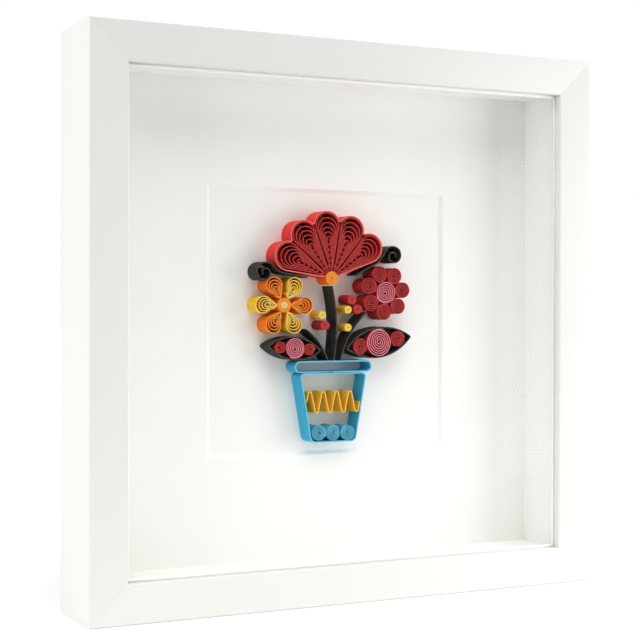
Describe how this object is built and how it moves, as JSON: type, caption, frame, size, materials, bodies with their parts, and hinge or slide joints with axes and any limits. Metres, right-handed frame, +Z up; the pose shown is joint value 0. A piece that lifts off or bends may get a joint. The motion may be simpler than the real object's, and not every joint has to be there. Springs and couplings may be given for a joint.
{
  "type": "framed quilled paper art",
  "caption": "Deep square white box frame with a bevelled white mat, holding a posy in a pot made of rolled and bent paper strips on edge.",
  "frame": {"origin": "centre of the frame's bottom face, at mid depth of its rails", "axes": "+X to the right seen from the front, +Y from the front to the back, +Z up"},
  "size_m": [0.25, 0.0422, 0.25],
  "materials": {
    "white_foil": "fibreboard moulding wrapped in matt white foil",
    "clear_glazing": "clear, polished",
    "white_spacer": "matt white board strip",
    "white_mat": "matt white mat board with a white core",
    "white_card": "smooth matt white card",
    "hardboard": "smooth brown hardboard",
    "spring_steel": "bare rolled steel",
    "plated_steel": "zinc plated steel",
    "crimson_paper": "matt dyed paper strip",
    "red_paper": "matt dyed paper strip",
    "pink_paper": "matt dyed paper strip",
    "orange_paper": "matt dyed paper strip",
    "yellow_paper": "matt dyed paper strip",
    "pale_yellow_paper": "matt dyed paper strip",
    "black_paper": "matt dyed paper strip",
    "turquoise_paper": "matt dyed paper strip"
  },
  "bodies": {
    "root": {"art_card": "white_card", "back_panel": "hardboard", "berries_crimson": "crimson_paper", "berries_yellow": "yellow_paper", "corner_v_nails": "spring_steel", "curl_left": "black_paper", "curl_right": "black_paper", "daisy_core": "pale_yellow_paper", "daisy_petal_orange_1": "orange_paper", "daisy_petal_orange_2": "orange_paper", "daisy_petal_orange_3": "orange_paper", "daisy_petal_yellow_1": "yellow_paper", "daisy_petal_yellow_2": "yellow_paper", "daisy_petal_yellow_3": "yellow_paper", "daisy_ring": "orange_paper", "fan_hub": "orange_paper", "fan_petal_1": "crimson_paper", "fan_petal_2": "crimson_paper", "fan_petal_3": "crimson_paper", "fan_petal_4": "crimson_paper", "fan_petal_5": "crimson_paper", "fan_wrap": "red_paper", "flex_points": "spring_steel", "glazing": "clear_glazing", "hanger": "plated_steel", "hanger_nails": "plated_steel", "left_leaf_coil_lower": "crimson_paper", "left_leaf_coil_middle": "pink_paper", "left_leaf_coil_upper": "crimson_paper", "left_leaf_outline": "black_paper", "mat_board": "white_mat", "pot": "turquoise_paper", "pot_coils": "turquoise_paper", "pot_crimp": "yellow_paper", "pot_rim": "turquoise_paper", "rail_bottom": "white_foil", "rail_left": "white_foil", "rail_right": "white_foil", "rail_top": "white_foil", "right_leaf_coil_lower": "crimson_paper", "right_leaf_coil_middle": "pink_paper", "right_leaf_coil_upper": "crimson_paper", "right_leaf_outline": "black_paper", "round_flower_middle": "pink_paper", "round_flower_petal_1": "crimson_paper", "round_flower_petal_2": "crimson_paper", "round_flower_petal_3": "crimson_paper", "round_flower_petal_4": "crimson_paper", "round_flower_petal_5": "crimson_paper", "round_flower_petal_6": "crimson_paper", "round_flower_petal_7": "crimson_paper", "spacer_bottom": "white_spacer", "spacer_left": "white_spacer", "spacer_right": "white_spacer", "spacer_top": "white_spacer", "stem_left": "black_paper", "stem_middle": "black_paper", "stem_right": "black_paper"}
  },
  "joints": []
}
